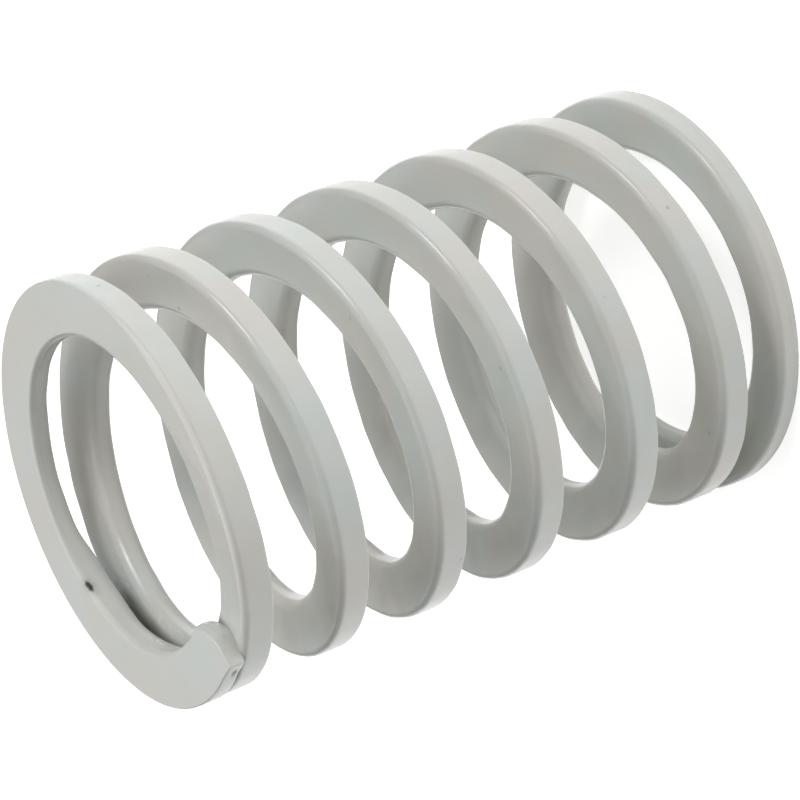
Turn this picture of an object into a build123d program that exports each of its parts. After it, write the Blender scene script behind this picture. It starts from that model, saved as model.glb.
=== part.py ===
"""Die spring: one piece of rectangular wire, coiled right-handed, closed and
ground at both ends.

Frame: +Z up, millimetres.  The spring stands on its lower ground end, with the
origin at the centre of that seat.  The wire's lower tip is just past +X, and
the coil rises anticlockwise from it.
"""

from build123d import *
from build123d.topology import SkipClean
import math
import os

os.makedirs("parts", exist_ok=True)

# ---------------------------------------------------------------- dimensions
OUTER_DIAMETER = 32.0       # over the coils, fits a 32 mm pocket class
INNER_DIAMETER = 23.4       # between the coils, over a guide rod
FREE_LENGTH = 50.0          # ground face to ground face, unloaded

WIRE_THICK_OUTER = 2.41     # axial thickness of the wire at its outer wall
WIRE_THICK_INNER = 2.08     # axial thickness at its inner wall
CORNER_OUTER_TOP = 0.50     # rolled corner radii: outer wall, upper edge,
CORNER_OUTER_LOW = 0.15     # outer wall, lower edge,
CORNER_INNER = 0.90         # and both edges of the inner wall
WIRE_LEAN = 0.26            # how much higher the wire's outer wall sits

START_TURN = 0.050          # the lower tip, in turns round from +X
TOTAL_TURNS = 7.310         # the upper tip, counted the same way
SEGMENTS = 56               # the wire is built in arcs, each about 1/8 turn
SECTIONS_PER_SEGMENT = 4    # section spacing inside one arc

TIP_ROUND_RADIAL = 2.6      # worn corner at the upper tip, along the radius
TIP_ROUND_ALONG = 1.8       # the same corner, along the wire
TIP_CLEAR = 0.08            # that corner's cut starts this far below the tip

# Height of the wire's centreline above the lower seat.  The end coils are
# wound nearly flat (closed), and the coils between them at about 8.5 mm pitch.
CENTRELINE = [              # (turns round from +X, mm)
    (0.000, 0.200), (0.220, 0.290), (0.470, 0.520), (0.720, 1.210),
    (0.970, 2.590), (1.220, 4.782), (1.470, 6.690), (1.720, 8.998),
    (1.970, 10.900), (2.220, 13.040), (2.470, 15.320), (2.720, 17.530),
    (2.970, 19.480), (3.220, 21.700), (3.470, 23.930), (3.720, 26.140),
    (3.970, 28.090), (4.220, 30.308), (4.470, 32.480), (4.720, 34.640),
    (4.970, 36.430), (5.220, 38.610), (5.470, 40.820), (5.720, 42.880),
    (5.970, 44.781), (6.220, 46.684), (6.345, 47.597), (6.470, 48.430),
    (6.595, 48.830), (6.720, 49.200), (6.845, 49.340), (6.970, 49.375),
    (7.080, 49.160), (7.160, 49.140), (7.240, 49.400), (7.310, 49.830),
]

# ------------------------------------------------------------------- derived
R_OUT = OUTER_DIAMETER / 2
R_IN = INNER_DIAMETER / 2
TRIM = 0.02                 # the rolled section is drawn this much over width,
                            # and its two walls are then cut to true cylinders


def natural_spline(knots):
    """Smooth curve through the knots, with free ends."""
    xs = [k[0] for k in knots]
    ys = [k[1] for k in knots]
    n = len(xs)
    h = [xs[i + 1] - xs[i] for i in range(n - 1)]
    lower = [0.0] * n
    diag = [1.0] * n
    upper = [0.0] * n
    rhs = [0.0] * n
    for i in range(1, n - 1):
        lower[i], diag[i], upper[i] = h[i - 1], 2 * (h[i - 1] + h[i]), h[i]
        rhs[i] = 6 * ((ys[i + 1] - ys[i]) / h[i] - (ys[i] - ys[i - 1]) / h[i - 1])
    for i in range(1, n):
        w = lower[i] / diag[i - 1]
        diag[i] -= w * upper[i - 1]
        rhs[i] -= w * rhs[i - 1]
    bend = [0.0] * n
    bend[-1] = rhs[-1] / diag[-1]
    for i in range(n - 2, -1, -1):
        bend[i] = (rhs[i] - upper[i] * bend[i + 1]) / diag[i]

    def value(x):
        i = 0
        while i < n - 2 and x > xs[i + 1]:
            i += 1
        a = (xs[i + 1] - x) / h[i]
        b = (x - xs[i]) / h[i]
        return (
            a * ys[i]
            + b * ys[i + 1]
            + ((a**3 - a) * bend[i] + (b**3 - b) * bend[i + 1]) * h[i] ** 2 / 6
        )

    return value


height = natural_spline(CENTRELINE)


def radial_plane(turn):
    """Plane that holds the axis: local x outward, local y up the axis."""
    a = 2 * math.pi * turn
    return Plane(
        origin=(0, 0, height(turn)),
        x_dir=(math.cos(a), math.sin(a), 0),
        z_dir=(math.sin(a), -math.cos(a), 0),
    )


# ------------------------------------------------------------ the coiled wire
# Each arc is lofted through the rolled section, and its inner and outer walls
# are cut to the true cylinders that ride on the guide rod and in the pocket.
# Faces stay split at each arc, so no wall face spans more than 1/8 turn.
with SkipClean():
    arcs = []
    count = SEGMENTS
    step = (TOTAL_TURNS - START_TURN) / count
    for i in range(count):
        with BuildPart() as arc:
            for j in range(SECTIONS_PER_SEGMENT + 1):
                with BuildSketch(
                    radial_plane(START_TURN + (i + j / SECTIONS_PER_SEGMENT) * step)
                ) as section:
                    with BuildLine():
                        Polyline(
                            (R_OUT + TRIM, (WIRE_LEAN - WIRE_THICK_OUTER) / 2),
                            (R_OUT + TRIM, (WIRE_LEAN + WIRE_THICK_OUTER) / 2),
                            (R_IN - TRIM, (WIRE_THICK_INNER - WIRE_LEAN) / 2),
                            (R_IN - TRIM, -(WIRE_LEAN + WIRE_THICK_INNER) / 2),
                            close=True,
                        )
                    make_face()
                    fillet(section.vertices().group_by(Axis.X)[0], CORNER_INNER)
                    outer = section.vertices().group_by(Axis.X)[-1].sort_by(Axis.Y)
                    fillet(outer[-1], CORNER_OUTER_TOP)
                    outer = section.vertices().group_by(Axis.X)[-1].sort_by(Axis.Y)
                    fillet(outer[0], CORNER_OUTER_LOW)
            loft(clean=False)
            base = height(START_TURN + i * step) - 6.0
            with BuildSketch(Plane.XY.offset(base)):
                Circle(R_OUT + 5.0)
                Circle(R_OUT, mode=Mode.SUBTRACT)
            extrude(amount=14.0, clean=False, mode=Mode.SUBTRACT)
            with BuildSketch(Plane.XY.offset(base)):
                Circle(R_IN)
            extrude(amount=14.0, clean=False, mode=Mode.SUBTRACT)
        arcs.append(arc.part.solids()[0])

    # The arcs share their end sections, and join into one length of wire.
    with BuildPart() as die_spring:
        add(arcs[0], clean=False)
        add(arcs[1:], clean=False)

        # Both ends are ground flat and square to the axis.
        with BuildSketch(Plane.XY.offset(-8.0)):
            Rectangle(50.0, 50.0)
        extrude(amount=8.0, clean=False, mode=Mode.SUBTRACT)
        with BuildSketch(Plane.XY.offset(FREE_LENGTH)):
            Rectangle(50.0, 50.0)
        extrude(amount=8.0, clean=False, mode=Mode.SUBTRACT)

        # The upper tip's inner corner is rounded off where the wire was cut.
        # The cutter's base lies in the gap below the tip, and slopes with it.
        tip = 2 * math.pi * TOTAL_TURNS
        rise = (height(TOTAL_TURNS) - height(TOTAL_TURNS - 0.04)) / (
            0.04 * 2 * math.pi * (R_IN + 1.3)
        )
        tip_plane = Plane(
            origin=(
                R_IN * math.cos(tip),
                R_IN * math.sin(tip),
                height(TOTAL_TURNS) - (WIRE_THICK_INNER + WIRE_LEAN) / 2 - TIP_CLEAR,
            ),
            x_dir=(math.cos(tip), math.sin(tip), 0),
            z_dir=(rise * math.sin(tip), -rise * math.cos(tip), 1),
        )
        with BuildSketch(tip_plane):
            with BuildLine():
                EllipticalCenterArc(
                    (TIP_ROUND_RADIAL, -TIP_ROUND_ALONG),
                    TIP_ROUND_RADIAL + 0.2,
                    TIP_ROUND_ALONG + 0.02,
                    start_angle=90,
                    arc_size=90,
                )
                Polyline(
                    (-0.2, -TIP_ROUND_ALONG),
                    (-1.0, -TIP_ROUND_ALONG),
                    (-1.0, 0.05),
                    (TIP_ROUND_RADIAL, 0.05),
                    (TIP_ROUND_RADIAL, 0.02),
                )
            make_face()
        extrude(amount=4.0, dir=(0, 0, 1), clean=False, mode=Mode.SUBTRACT)

die_spring.part.label = "die_spring"
export_step(die_spring.part, "parts/die_spring.step")
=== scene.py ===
"""Die spring, stood on its ground end, in Blender.

The coil is one piece of rectangular wire.  Its mesh is made here from the same
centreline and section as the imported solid, ring by ring along the wire, so
that the rolled corners, the ground faces and the cut tips all have clean
edges.  Metres, +Z up, in the part's own frame.
"""
import math

import bpy
import numpy as np
from mathutils import Matrix, Vector


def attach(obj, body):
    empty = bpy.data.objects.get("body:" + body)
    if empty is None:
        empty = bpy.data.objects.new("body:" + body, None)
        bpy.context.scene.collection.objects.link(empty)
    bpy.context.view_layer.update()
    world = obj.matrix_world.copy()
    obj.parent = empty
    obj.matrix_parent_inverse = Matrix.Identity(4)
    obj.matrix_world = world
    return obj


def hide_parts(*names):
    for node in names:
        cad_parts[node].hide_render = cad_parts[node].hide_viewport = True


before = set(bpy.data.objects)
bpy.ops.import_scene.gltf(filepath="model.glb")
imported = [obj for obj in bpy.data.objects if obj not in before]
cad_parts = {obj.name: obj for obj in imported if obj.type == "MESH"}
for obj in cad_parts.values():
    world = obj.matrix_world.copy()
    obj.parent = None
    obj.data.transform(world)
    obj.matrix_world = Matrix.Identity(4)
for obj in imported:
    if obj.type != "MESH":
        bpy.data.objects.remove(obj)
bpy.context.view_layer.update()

# ---------------------------------------------------------------- dimensions
MM = 0.001
R_OUT, R_IN, LENGTH = 16.0, 11.70, 50.0
T_OUT, T_IN = 2.41, 2.08
RC_OUT_TOP, RC_OUT_LOW, RC_IN = 0.50, 0.15, 0.90
LEAN = 0.26                 # how much higher the wire's outer wall sits
TURNS = 7.310
START = 0.050
CENTRELINE = [              # (turns round from +X, height of the wire's centre, mm)
    (0.000, 0.200), (0.220, 0.290), (0.470, 0.520), (0.720, 1.210),
    (0.970, 2.590), (1.220, 4.782), (1.470, 6.690), (1.720, 8.998),
    (1.970, 10.900), (2.220, 13.040), (2.470, 15.320), (2.720, 17.530),
    (2.970, 19.480), (3.220, 21.700), (3.470, 23.930), (3.720, 26.140),
    (3.970, 28.090), (4.220, 30.308), (4.470, 32.480), (4.720, 34.640),
    (4.970, 36.430), (5.220, 38.610), (5.470, 40.820), (5.720, 42.880),
    (5.970, 44.781), (6.220, 46.684), (6.345, 47.597), (6.470, 48.430),
    (6.595, 48.830), (6.720, 49.200), (6.845, 49.340), (6.970, 49.375),
    (7.080, 49.160), (7.160, 49.140), (7.240, 49.400), (7.310, 49.830),
]
BREAK = 0.10                # radius on the outer edges of the two ground faces
BREAK_IN = 0.28             # and on their inner edges, rounded by thick paint
TIP_BREAK = 0.07            # radius on the edges of the two cut tips
TIP_ROUND_R, TIP_ROUND_A = 2.6, 1.8     # rounded inner corner of the upper tip
RAISE = 0.10                # how far the tip's neighbour is pressed up, at its outer edge


def natural_spline(knots):
    xs = [k[0] for k in knots]
    ys = [k[1] for k in knots]
    n = len(xs)
    h = [xs[i + 1] - xs[i] for i in range(n - 1)]
    lower, diag, upper, rhs = [0.0] * n, [1.0] * n, [0.0] * n, [0.0] * n
    for i in range(1, n - 1):
        lower[i], diag[i], upper[i] = h[i - 1], 2 * (h[i - 1] + h[i]), h[i]
        rhs[i] = 6 * ((ys[i + 1] - ys[i]) / h[i] - (ys[i] - ys[i - 1]) / h[i - 1])
    for i in range(1, n):
        w = lower[i] / diag[i - 1]
        diag[i] -= w * upper[i - 1]
        rhs[i] -= w * rhs[i - 1]
    bend = [0.0] * n
    bend[-1] = rhs[-1] / diag[-1]
    for i in range(n - 2, -1, -1):
        bend[i] = (rhs[i] - upper[i] * bend[i + 1]) / diag[i]

    def value(x):
        i = 0
        while i < n - 2 and x > xs[i + 1]:
            i += 1
        a = (xs[i + 1] - x) / h[i]
        b = (x - xs[i]) / h[i]
        return (a * ys[i] + b * ys[i + 1]
                + ((a**3 - a) * bend[i] + (b**3 - b) * bend[i + 1]) * h[i] ** 2 / 6)

    return value


height = natural_spline(CENTRELINE)

# -------------------------------------------------------------- wire section
# The section is a rolled trapezoid in the plane that holds the axis (r outward,
# z up): four corners joined by four straight sides.  A corner runs from its
# wall, round the rolled arc, to the flat.  Where a ground plane cuts it, it
# ends in a small break.  Each part keeps its number of points, so the edges
# run along the mesh all the way.
ARC_N, BREAK_N, FLAT_N, WALL_N = 8, 4, 4, 2
R_MID = (R_OUT + R_IN) / 2
WIDTH = R_OUT - R_IN


def flat_at(r, lean):
    """Half thickness at radius r, with the flat's own lean added."""
    return (T_IN + T_OUT) / 4 + ((T_OUT - T_IN) / 2 + lean) * (r - R_MID) / WIDTH


def spaced(points, n, start):
    """n points at even spacing along a polyline, with or without its start."""
    p = np.array(points)
    d = np.concatenate([[0.0], np.cumsum(np.hypot(*np.diff(p, axis=0).T))])
    t = np.linspace(0, d[-1], n if start else n + 1)
    if not start:
        t = t[1:]
    return np.stack([np.interp(t, d, p[:, 0]), np.interp(t, d, p[:, 1])], 1)


def corner(outer, plane, lean, rc):
    """One corner in the upper half, from wall to flat.  plane is the ground
    plane's height above the wire's centre."""
    tilt = math.atan(((T_OUT - T_IN) / 2 + lean) / WIDTH)
    wall, d = (R_OUT, 1.0) if outer else (R_IN, -1.0)
    full = math.pi / 2 + (tilt if outer else -tilt)
    cr = wall - d * rc
    cz = flat_at(cr, lean) - rc / math.cos(tilt)
    top = cz + rc * math.sin(min(full, math.pi / 2))
    on_arc = lambda a: (cr + d * rc * math.cos(a), cz + rc * math.sin(a))
    e = BREAK if outer else BREAK_IN
    last = full - math.radians(14)          # the break's points start here on a whole arc
    if plane >= top:                        # not ground
        first = [(wall, cz - 0.08)] + [on_arc(a) for a in np.linspace(0, last, 14)]
        second = [on_arc(a) for a in np.linspace(last, full, 6)]
    elif plane - e > cz:                    # ground through the rolled arc
        lift = plane - e - cz
        if lift >= rc - e:
            lift = rc - e
        a1 = math.asin(lift / (rc - e))
        fr, fz = cr + d * math.sqrt(max(0.0, (rc - e) ** 2 - lift**2)), plane - e
        a0 = min(a1, last)
        first = [(wall, cz - 0.08)] + [on_arc(a) for a in np.linspace(0, a0, 14)]
        second = [on_arc(a) for a in np.linspace(a0, a1, 4)]
        second += [(fr + d * e * math.cos(a), fz + e * math.sin(a))
                   for a in np.linspace(a1, math.pi / 2, 8)[1:]]
    else:                                   # ground down to the wall
        fr, fz = wall - d * e, plane - e
        first = [(wall, min(cz, fz) - 0.08), (wall, fz)]
        second = [(fr + d * e * math.cos(a), fz + e * math.sin(a))
                  for a in np.linspace(0, math.pi / 2, 8)]
    return np.concatenate([spaced(first, ARC_N, True), spaced(second, BREAK_N, False)])


def side(a, b, n, cap=None, lean=0.0):
    """n points between two ends of a straight side, under the ground plane."""
    t = (np.arange(n) + 1.0) / (n + 1)
    p = a + (b - a) * t[:, None]
    if cap is not None:
        p[:, 1] = np.minimum(flat_at(p[:, 0], lean), cap)
    return p


def section(zc):
    """The section at centre height zc, round once, as (r, z) from the seat."""
    up, down = LENGTH - zc, zc
    lt, lb = LEAN, -LEAN
    ot, it = corner(True, up, lt, RC_OUT_TOP), corner(False, up, lt, RC_IN)
    ob, ib = corner(True, down, lb, RC_OUT_LOW), corner(False, down, lb, RC_IN)
    flat_t = side(ot[-1], it[-1], FLAT_N, up, lt)
    flat_b = side(ib[-1], ob[-1], FLAT_N, down, lb)
    m = lambda p: p * np.array([1, -1])
    wall_i = side(it[0], m(ib)[0], WALL_N)
    wall_o = side(m(ob)[0], ot[0], WALL_N)
    ring = np.concatenate([ot, flat_t, it[::-1], wall_i, m(ib), m(flat_b), m(ob)[::-1], wall_o])
    ring[:, 1] += zc
    return ring


def inset(ring, by):
    """The ring moved inward by a little, for the rounded edge of a cut tip."""
    t = np.roll(ring, -1, 0) - np.roll(ring, 1, 0)
    n = np.stack([-t[:, 1], t[:, 0]], 1)
    n /= np.linalg.norm(n, axis=1)[:, None]
    c = ring.mean(0)
    if np.sum((ring + n * 0.01 - c) ** 2) > np.sum((ring - c) ** 2):
        n = -n
    return ring + n * by


def smooth(x):
    x = np.clip(x, 0, 1)
    return x * x * (3 - 2 * x)


def press(s):
    """How far coil 2 is pressed up at turn s, from 0 to 1."""
    return math.exp(-(((s - 6.32) / 0.16) ** 2))


def waves(points, length, seed):
    """Smooth noise of about unit size, with crests about length mm apart."""
    rng = np.random.default_rng(seed)
    total = np.zeros(points.shape[:-1])
    for _ in range(16):
        d = rng.normal(size=3)
        d *= 2 * math.pi / (np.linalg.norm(d) * length * rng.uniform(0.75, 1.4))
        total += np.sin(points @ d + rng.uniform(0, 2 * math.pi))
    return total / math.sqrt(8)


def build_coil():
    step = 1.0 / 200
    stations = [("ring", s) for s in np.linspace(START, TURNS, int(round((TURNS - START) / step)) + 1)]
    mean_turn = 2 * math.pi * (R_OUT + R_IN) / 2
    rows = []                                # (turn, ring)
    n_cap = 4
    for i, (_, s) in enumerate(stations):
        rows.append((s, section(height(s)), 0.0))
    # rounded edges at both tips: the last rings step back and close in
    first, last = rows[0], rows[-1]
    head, tail = [], []
    for k in range(1, n_cap + 1):
        a = math.pi / 2 * k / n_cap
        head.append((first[0] + TIP_BREAK * (1 - math.sin(a)) / mean_turn,
                     inset(first[1], TIP_BREAK * (1 - math.cos(a))), 0.0))
        tail.append((last[0] - TIP_BREAK * (1 - math.sin(a)) / mean_turn,
                     inset(last[1], TIP_BREAK * (1 - math.cos(a))), 0.0))
    # the full-width rings end where the rounding starts
    back = TIP_BREAK / mean_turn
    rows = [r for r in rows if START + back * 1.5 < r[0] < TURNS - back * 1.5]
    rows = ([(h[0], h[1], 0.0) for h in reversed(head)]
            + [(START + back, section(height(START)), 0.0)] + rows
            + [(TURNS - back, section(height(TURNS)), 0.0)] + tail)
    # both cut faces are meshed in shrinking rings, so that they can bend
    spread = (0.85, 0.65, 0.45, 0.25, 0.06)
    for f in spread:
        for end, s in ((0, START), (-1, TURNS)):
            whole = (head if end == 0 else tail)[-1][1]
            mid = whole.mean(0)
            row = (s, mid + f * (whole - mid), 0.0)
            rows = [row] + rows if end == 0 else rows + [row]
    n = len(rows[0][1])
    verts = np.zeros((len(rows), n, 3))
    outward = np.zeros((len(rows), n, 3))
    for i, (s, ring, _) in enumerate(rows):
        r, z = ring[:, 0].copy(), ring[:, 1].copy()
        turn = np.full(n, s)
        u = np.clip((r - R_IN) / WIDTH, 0, 1)
        # coil 2's front edge is pressed up a little where the tip lies on it
        z += RAISE * press(s) * u**2 * smooth((z - height(s) + 1.2) / 2.4)
        # the upper tip is pressed down until its outer half meets that coil
        close = smooth((s - 7.12) / 0.09)
        if close > 0:
            under = height(s) - flat_at(r, -LEAN)
            below = height(s - 1) + flat_at(r, LEAN) + RAISE * press(s - 1) * u**2
            v = np.clip((z - under) / (LENGTH - under), 0, 1)
            z -= (under - below - 0.015) * close * smooth((u + 0.02) / 0.22) * (1 - v)
        # the end coil's lower side sags a little as it runs down to the contact
        sag = 0.46 * smooth((s - 6.985) / 0.05) * (1 - smooth((s - 7.05) / 0.09))
        z -= sag * np.clip((LENGTH - z) / 2.2, 0, 1)
        # the coil is not quite a true cylinder: its end coils spring open a little
        q = 2 * s / 7.22 - 1
        r += -0.020 * q - 0.037 * (q * q - 0.33) + 0.16 * math.exp(-(((TURNS - s) / 0.20) ** 2))
        r += 0.127 * math.exp(-((s / 0.35) ** 2))
        # upper tip: inner corner rounded where the wire was cut, the cut itself
        # leaning over the coil below, and a small ear at its outer corner
        left = (TURNS - s) * mean_turn       # mm of wire still to come
        if left < 5.0:
            fade = (1 - left / 5.0) ** 2 * (3 - 2 * (1 - left / 5.0))
            x = np.clip(TIP_ROUND_R - (r - R_IN), 0, None) / (TIP_ROUND_R + 0.1)
            back_off = TIP_ROUND_A * (1 - np.sqrt(np.clip(1 - x**2, 0.0, 1)))
            turn -= back_off * fade / (2 * math.pi * r)
            lean = max(0.0, 1 - left / 3.0) ** 2
            if left > 1e-6 or i < len(rows) - len(spread):
                z_low, z_high = z.min(), z.max()
            v = np.clip((z - z_low) / (z_high - z_low), 0, 1)
            over = np.interp(u, [0, 0.25, 0.55, 0.8, 1], [0.05, 0.45, 0.72, 0.62, 0.40])
            back = np.interp(u, [0, 0.25, 0.5, 0.75, 1], [0.05, -0.40, -0.75, -0.60, -0.20])
            bulge = np.interp(u, [0, 0.3, 0.7], [0.42, 0.25, 0.05]) * 4 * v * (1 - v)
            turn += lean * (over * v - back * (1 - v) + bulge) / (2 * math.pi * r)
            u = np.clip((r - R_MID) / (WIDTH / 2), 0, None)
            r += 0.30 * u**2 * max(0.0, 1 - left / 1.5) ** 1.5
        a = 2 * math.pi * turn
        verts[i, :, 0] = r * np.cos(a)
        verts[i, :, 1] = r * np.sin(a)
        verts[i, :, 2] = z
        t = np.roll(ring, -1, 0) - np.roll(ring, 1, 0)
        t /= np.maximum(np.linalg.norm(t, axis=1), 1e-9)[:, None]
        outward[i] = np.stack([t[:, 1] * np.cos(a), t[:, 1] * np.sin(a), -t[:, 0]], 1)
    # brushed and dipped enamel is never quite even: the film swells and thins
    # over a few millimetres, except on the ground faces, which stay flat
    if np.sum(outward[10, :ARC_N] * verts[10, :ARC_N] * [1, 1, 0]) < 0:
        outward = -outward
    off = np.clip(np.minimum(verts[..., 2], LENGTH - verts[..., 2]) / 0.4, 0, 1)
    film = 0.008 * waves(verts, 6.0, 3) + 0.009 * waves(verts, 2.4, 5)
    verts += outward * (film * off * off * (3 - 2 * off))[..., None]
    m = len(rows)
    idx = np.arange(m * n).reshape(m, n)
    nxt = np.roll(idx, -1, 1)
    quads = np.stack([idx[:-1], idx[1:], nxt[1:], nxt[:-1]], -1).reshape(-1, 4)
    faces = quads.tolist()
    faces.append(idx[0].tolist())
    faces.append(idx[-1][::-1].tolist())
    mesh = bpy.data.meshes.new("coil")
    mesh.from_pydata((verts.reshape(-1, 3) * MM).tolist(), [], faces)
    # how far each point is along the wire and round its section, for the paint
    along = mesh.attributes.new("along", "FLOAT", "POINT")
    along.data.foreach_set("value", np.repeat([r[0] for r in rows], n).astype(np.float32))
    # how near each point is to the coil above or below, where grime and thick
    # paint collect and painted shade darkens the colour: 0 in the open, 1 where the coils touch
    depth = np.zeros((len(rows), n))
    for i, (s, ring, _) in enumerate(rows):
        mid = height(s)
        for other, side_ in ((s - 1, -1), (s + 1, 1)):
            if START <= other <= TURNS:
                gap = abs(height(other) - mid) - (T_IN + T_OUT) / 2
                facing = np.clip(side_ * (ring[:, 1] - mid) / 0.9 + 0.35, 0, 1)
                depth[i] = np.maximum(depth[i], facing * np.exp(-max(gap, 0.0) / 0.55))
        # painted shade along coil 2's upper inner corner, under the upper tip
        under_tip = smooth((s - 6.02) / 0.09) * (1 - smooth((s - 6.18) / 0.10))
        high = np.clip((ring[:, 1] - mid - 0.55) / 0.4, 0, 1)
        inner = np.clip((ring[:, 0] - R_IN - 0.55) / 1.2, 0, 1)
        # less painted shade and grime at the tip itself and on the outside
        depth[i] *= 1 - 0.75 * smooth((s - 7.20) / 0.06)
        depth[i] *= 1 - 0.75 * np.clip((ring[:, 0] - R_MID) / 1.2, 0, 1)
        depth[i] = np.maximum(depth[i], 1.5 * under_tip * high * inner)
    shade_and_grime = mesh.attributes.new("shade_and_grime", "FLOAT", "POINT")
    shade_and_grime.data.foreach_set("value", depth.ravel().astype(np.float32))
    mesh.validate()
    import bmesh
    bm = bmesh.new()
    bm.from_mesh(mesh)
    bmesh.ops.recalc_face_normals(bm, faces=bm.faces)
    bm.to_mesh(mesh)
    bm.free()
    mesh.shade_smooth()
    # shading normals come straight from the surface, weighted by length, so
    # that the flats stay flat right up to their rounded edges
    wire = np.empty_like(verts)
    wire[1:-1] = verts[2:] - verts[:-2]
    wire[0], wire[-1] = verts[1] - verts[0], verts[-1] - verts[-2]
    normal = np.cross(np.roll(verts, -1, 1) - np.roll(verts, 1, 1), wire)
    normal /= np.maximum(np.linalg.norm(normal, axis=2), 1e-12)[..., None]
    if np.sum(normal[20:-20] * outward[20:-20]) < 0:
        normal = -normal
    mesh.normals_split_custom_set_from_vertices(normal.reshape(-1, 3).tolist())
    obj = bpy.data.objects.new("spring_coil", mesh)
    bpy.context.collection.objects.link(obj)
    return obj


coil = build_coil()
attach(coil, "root")
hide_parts("die_spring")


# ------------------------------------------------------------------ material
class Nodes:
    """Short helpers for building a node tree."""

    def __init__(self, mat):
        mat.use_nodes = True
        self.t = mat.node_tree
        self.shader = self.t.nodes["Principled BSDF"]

    def put(self, socket, value):
        if isinstance(value, bpy.types.NodeSocket):
            self.t.links.new(value, socket)
        else:
            socket.default_value = value

    def new(self, kind, **settings):
        node = self.t.nodes.new(kind)
        for k, v in settings.items():
            setattr(node, k, v)
        return node

    def math(self, op, a, b=0.0, c=0.0):
        node = self.new("ShaderNodeMath", operation=op)
        for socket, value in zip(node.inputs, (a, b, c)):
            self.put(socket, value)
        return node.outputs[0]

    def noise(self, where, scale, detail=2.0, rough=0.5, warp=0.0):
        node = self.new("ShaderNodeTexNoise")
        self.put(node.inputs["Vector"], where)
        self.put(node.inputs["Scale"], scale)
        self.put(node.inputs["Detail"], detail)
        self.put(node.inputs["Roughness"], rough)
        self.put(node.inputs["Distortion"], warp)
        return node.outputs["Fac"]

    def span(self, value, lo, hi, to_lo=0.0, to_hi=1.0, kind="SMOOTHSTEP"):
        node = self.new("ShaderNodeMapRange", interpolation_type=kind)
        for name, v in (("Value", value), ("From Min", lo), ("From Max", hi),
                        ("To Min", to_lo), ("To Max", to_hi)):
            self.put(node.inputs[name], v)
        return node.outputs["Result"]

    def mix(self, fac, a, b, how="MIX"):
        node = self.new("ShaderNodeMix", data_type="RGBA", blend_type=how)
        self.put(node.inputs[0], fac)
        self.put(node.inputs[6], a)
        self.put(node.inputs[7], b)
        return node.outputs[2]

    def vmath(self, op, a, b=(0, 0, 0), out=0):
        node = self.new("ShaderNodeVectorMath", operation=op)
        self.put(node.inputs[0], a)
        self.put(node.inputs[1], b)
        return node.outputs[out]

    def attribute(self, name):
        return self.new("ShaderNodeAttribute", attribute_name=name).outputs["Fac"]

    def spot(self, where, centre, axis, long, wide, edge):
        """1 inside an oval mark round a point (mm), 0 outside, with a ragged edge."""
        d = self.vmath("SUBTRACT", where, tuple(c * MM for c in centre))
        k = Vector(axis).normalized()
        a = self.vmath("DOT_PRODUCT", d, tuple(k), out=1)
        d2 = self.vmath("DOT_PRODUCT", d, d, out=1)
        across = self.math("SUBTRACT", d2, self.math("MULTIPLY", a, a))
        across = self.math("DIVIDE", across, (wide * MM) ** 2)
        a = self.math("DIVIDE", self.math("MULTIPLY", a, a), (long * MM) ** 2)
        size = self.math("SQRT", self.math("MAXIMUM", self.math("ADD", a, across), 0.0))
        ragged = self.math("MULTIPLY_ADD", self.noise(where, 3200, 2), 0.7, -0.35)
        return self.span(self.math("ADD", size, ragged), 1.0 - edge, 1.0 + edge, 1.0, 0.0)


def rgb(r, g, b):
    """A colour given in sRGB, 0 to 255."""
    f = lambda c: c / 12.92 if c <= 0.04045 else ((c + 0.055) / 1.055) ** 2.4
    return (f(r / 255), f(g / 255), f(b / 255), 1)


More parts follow.
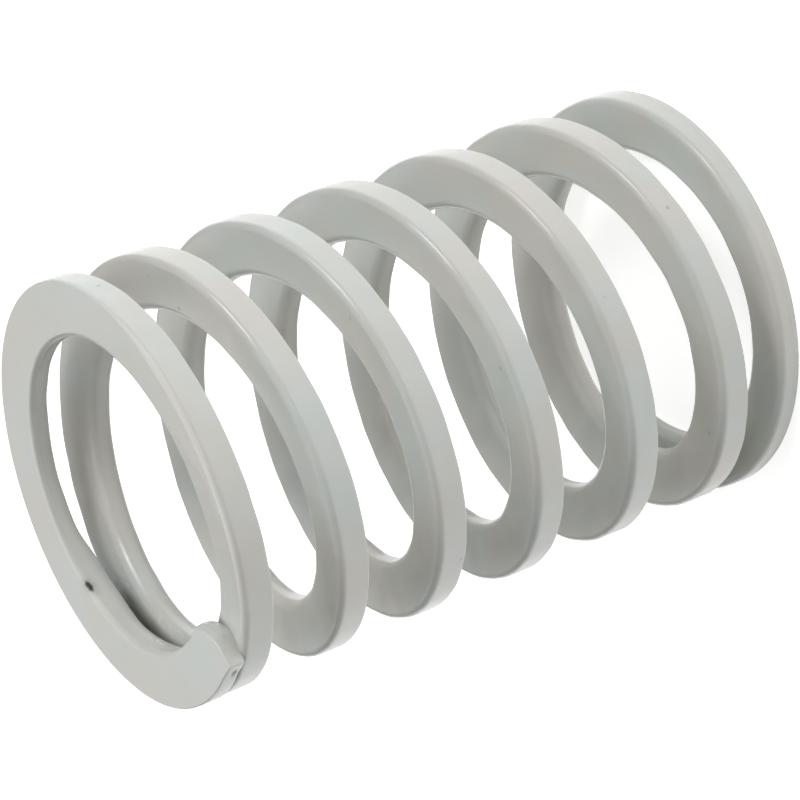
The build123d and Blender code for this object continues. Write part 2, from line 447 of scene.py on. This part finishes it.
def enamel():
    """Grey enamel, brushed and dipped over coiled steel: slightly uneven colour
    and gloss, orange peel, faint grinding marks under the paint of the two ground
    faces, painted shade with some grime between touching coils, and a few marks."""
    mat = bpy.data.materials.new("grey_enamel")
    n = Nodes(mat)
    b = n.shader
    at = n.new("ShaderNodeTexCoord").outputs["Object"]
    geo = n.new("ShaderNodeNewGeometry")
    up = n.new("ShaderNodeSeparateXYZ")
    n.put(up.inputs[0], geo.outputs["Normal"])
    pos = n.new("ShaderNodeSeparateXYZ")
    n.put(pos.inputs[0], at)
    flat_xy = n.new("ShaderNodeCombineXYZ")
    n.put(flat_xy.inputs[0], pos.outputs[0])
    n.put(flat_xy.inputs[1], pos.outputs[1])
    radial = n.vmath("NORMALIZE", flat_xy.outputs[0])
    outwards = n.vmath("DOT_PRODUCT", geo.outputs["Normal"], radial, out=1)
    inner_wall = n.span(outwards, -0.25, -0.95, 0.0, 1.0)
    z = pos.outputs[2]
    at_top = n.math("MULTIPLY", n.span(z, 0.0497, 0.04995), n.span(up.outputs[2], 0.9, 0.99))
    at_foot = n.math("MULTIPLY", n.span(z, 0.0003, 0.00005), n.span(up.outputs[2], -0.9, -0.99))
    ground = n.math("MAXIMUM", at_top, at_foot)
    shade_and_grime = n.attribute("shade_and_grime")

    # colour: cool and warm greys drift into each other over a few millimetres
    cool, warm, plain = rgb(198, 203, 199), rgb(203, 200, 193), rgb(200, 201, 196)
    drift = n.span(n.noise(at, 130, 2, 0.5, 0.3), 0.34, 0.66)
    colour = n.mix(drift, cool, warm)
    patch = n.span(n.noise(at, 260, 2, 0.5), 0.35, 0.65)
    colour = n.mix(n.math("MULTIPLY", patch, 0.5), colour, plain)
    # thin and thick paint: a little lighter, a little darker
    depth = n.span(n.noise(at, 170, 2, 0.5, 0.4), 0.3, 0.7, 0.982, 1.014, "LINEAR")
    shade = n.new("ShaderNodeCombineColor")
    for i in range(3):
        n.put(shade.inputs[i], depth)
    colour = n.mix(1.0, colour, shade.outputs[0], "MULTIPLY")
    # inner walls: painted shade, duller and a little olive
    inner_wall_shade = n.math("MULTIPLY", inner_wall, n.span(n.noise(at, 85, 3, 0.6, 0.5), 0.3, 0.68, 0.35, 1.0))
    colour = n.mix(n.math("MULTIPLY", inner_wall_shade, 0.45), colour, rgb(186, 184, 179))
    # painted contact shade, with some grime, where coils nearly touch
    grime_and_shade = n.math("MULTIPLY", n.span(shade_and_grime, 0.12, 0.95), n.span(n.noise(at, 420, 3, 0.6), 0.25, 0.6, 0.7, 1.0))
    colour = n.mix(n.math("MULTIPLY", grime_and_shade, 0.75), colour, rgb(112, 110, 98))
    # painted shade, darker still where the coils touch
    deepest_shade = n.span(shade_and_grime, 0.75, 1.5)
    colour = n.mix(n.math("MULTIPLY", deepest_shade, 0.5), colour, rgb(84, 83, 76))
    # fine specks
    speck = n.new("ShaderNodeTexVoronoi", feature="F1")
    n.put(speck.inputs["Vector"], at)
    n.put(speck.inputs["Scale"], 700.0)
    n.put(speck.inputs["Randomness"], 1.0)
    rare = n.new("ShaderNodeSeparateColor")
    n.put(rare.inputs[0], speck.outputs["Color"])
    dot = n.math("MULTIPLY", n.span(speck.outputs["Distance"], 0.16, 0.07),
                 n.span(rare.outputs[0], 0.93, 0.96))
    colour = n.mix(n.math("MULTIPLY", dot, 0.35), colour, rgb(120, 118, 108))

    # marks: a chip through to dark steel on the inner edge of the upper ground
    # face, a painted shadow in the gap beside the upper tip, and a dark dot at its inner corner
    chip = n.spot(at, CHIP, (-0.35, 0.93, -0.10), 0.46, 0.20, 0.5)
    halo = n.spot(at, CHIP, (-0.35, 0.93, -0.25), 0.72, 0.42, 0.9)
    gap_shadow = n.spot(at, GAP_SHADOW, GAP_SHADOW_AXIS, 0.62, 0.22, 0.7)
    dark_dot = n.spot(at, DARK_DOT, (0.3, 0.5, 0.8), 0.22, 0.2, 0.6)
    colour = n.mix(n.math("MULTIPLY", halo, 0.35), colour, rgb(120, 118, 108))
    colour = n.mix(chip, colour, rgb(52, 51, 48))
    # painted shadow in the gap beside the upper tip
    colour = n.mix(n.math("MULTIPLY", gap_shadow, 0.8), colour, rgb(72, 72, 64))
    colour = n.mix(n.math("MULTIPLY", dark_dot, 0.85), colour, rgb(50, 50, 46))
    n.put(b.inputs["Base Color"], colour)

    # gloss: a fairly shiny enamel with duller, handled patches
    gloss = n.span(n.noise(at, 150, 4, 0.65, 0.8), 0.3, 0.7, 0.205, 0.262)
    fine = n.span(n.noise(at, 900, 1, 0.5), 0.3, 0.7, -0.008, 0.012)
    rough = n.math("ADD", gloss, fine)
    # rubbed dull where the two ground ends are handled
    handled = n.math("MAXIMUM", n.span(z, 0.0495, 0.0498), n.span(z, 0.0005, 0.0002))
    rough = n.math("ADD", rough, n.math("MULTIPLY", handled, 0.22))
    rough = n.math("ADD", rough, n.math("MULTIPLY", grime_and_shade, 0.25))
    rough = n.math("ADD", rough, n.math("MULTIPLY", n.math("MAXIMUM", chip, gap_shadow), 0.3))
    n.put(b.inputs["Roughness"], n.math("MINIMUM", rough, 0.85))

    # relief, in metres: slow swells, orange peel, dust under the paint, and the
    # grinding marks of the two ground faces
    about = lambda value, size: n.math("MULTIPLY", n.math("SUBTRACT", value, 0.5), size)
    swell = about(n.noise(at, 300, 1, 0.4), 11e-6)
    peel = about(n.noise(at, 700, 1, 0.4), 2.2e-6)
    grain = about(n.noise(at, 3000, 0, 0.5), 0.15e-6)
    stretch = n.new("ShaderNodeMapping")
    n.put(stretch.inputs["Vector"], at)
    stretch.inputs["Rotation"].default_value = (0, 0, math.radians(24))
    stretch.inputs["Scale"].default_value = (60, 2600, 60)
    lines = n.noise(stretch.outputs[0], 1.0, 3, 0.6)
    lines = n.math("MULTIPLY", about(lines, 1.8e-6), ground)
    relief = n.math("ADD", swell, peel)
    relief = n.math("ADD", relief, n.math("ADD", grain, lines))
    relief = n.math("SUBTRACT", relief, n.math("MULTIPLY", chip, 60e-6))
    relief = n.math("ADD", relief, n.math("MULTIPLY", dot, 3e-6))
    bump = n.new("ShaderNodeBump")
    bump.inputs["Strength"].default_value = 1.0
    bump.inputs["Distance"].default_value = 1.0
    n.put(bump.inputs["Height"], relief)
    n.put(b.inputs["Normal"], bump.outputs[0])
    b.inputs["IOR"].default_value = 1.5
    return mat


# where the marks are, mm
CHIP = (11.157, 3.85, 49.685)
GAP_SHADOW = (-4.85, 15.50, 49.19)
GAP_SHADOW_AXIS = (0.93, 0.20, -0.10)
DARK_DOT = (-4.50, 11.95, 48.75)

mat = enamel()
coil.data.materials.clear()
coil.data.materials.append(mat)

# --------------------------------------------------------------------- floor
bpy.ops.mesh.primitive_plane_add(size=3.0, location=(0, 0, 0))
floor = bpy.context.object
floor.name = "floor"
fm = bpy.data.materials.new("floor")
fm.use_nodes = True
fb = fm.node_tree.nodes["Principled BSDF"]
fb.inputs["Base Color"].default_value = (0.93, 0.93, 0.93, 1)
fb.inputs["Emission Color"].default_value = (1, 1, 1, 1)
fb.inputs["Emission Strength"].default_value = 0.512
fb.inputs["Roughness"].default_value = 0.9
fb.inputs["Specular IOR Level"].default_value = 0.2
floor.data.materials.append(fm)

# -------------------------------------------------------------------- camera
cam_data = bpy.data.cameras.new("camera")
cam = bpy.data.objects.new("camera", cam_data)
bpy.context.collection.objects.link(cam)
right = Vector((-0.3848732, 0.4196656, -0.8220422))
up = Vector((-0.3162295, -0.8966997, -0.3097235))
back = right.cross(up)
rot = Matrix((right, up, back)).transposed()
cam.matrix_world = Matrix.Translation(Vector((-212.4970, 35.3317, 142.6555)) * MM) @ rot.to_4x4()
cam_data.lens = 148.3207
cam_data.sensor_width = 36
cam_data.clip_start = 0.01
cam_data.clip_end = 10
bpy.context.scene.camera = cam

# --------------------------------------------------------------------- light
# Soft panels round the part, none of them seen by the camera.
PANELS = [                  # azimuth, elevation (degrees), width, height (m), watts
    (0, 9, 0.25, 0.09, 0.015),
    (90, 9, 0.25, 0.09, 0.040),
    (150, 9, 0.25, 0.09, 0.029),
    (0, 32, 0.22, 0.18, 0.113),
    (300, 32, 0.22, 0.18, 0.009),
    (212, 32, 0.13, 0.13, 0.024),
    (228, 40, 0.14, 0.14, 0.614),
    (245, 38, 0.14, 0.14, 0.284),
    (0, 60, 0.22, 0.22, 0.328),
    (60, 60, 0.22, 0.22, 0.106),
    (120, 60, 0.22, 0.22, 0.129),
    (180, 60, 0.22, 0.22, 0.117),
    (240, 60, 0.22, 0.22, 0.082),
    (300, 60, 0.22, 0.22, 0.173),
    (0, 89, 0.30, 0.30, 0.417),
    (177, 42, 0.06, 0.06, 0.130),
]
for k, (az, el, w, h, watts) in enumerate(PANELS):
    az, el = math.radians(az), math.radians(el)
    d = Vector((math.cos(az) * math.cos(el), math.sin(az) * math.cos(el), math.sin(el)))
    data = bpy.data.lights.new("panel_%02d" % k, "AREA")
    data.shape = "RECTANGLE"
    data.size, data.size_y = w, h
    data.energy = watts
    lamp = bpy.data.objects.new(data.name, data)
    bpy.context.collection.objects.link(lamp)
    lamp.location = Vector((0, 0, 0.025)) + d * 0.45
    lamp.rotation_euler = d.to_track_quat("Z", "Y").to_euler()
    lamp.visible_camera = False

world = bpy.data.worlds.new("studio")
bpy.context.scene.world = world
world.use_nodes = True
world.node_tree.nodes["Background"].inputs[0].default_value = (1, 1, 1, 1)
world.node_tree.nodes["Background"].inputs[1].default_value = 0.000
bpy.context.scene.view_settings.view_transform = "Standard"
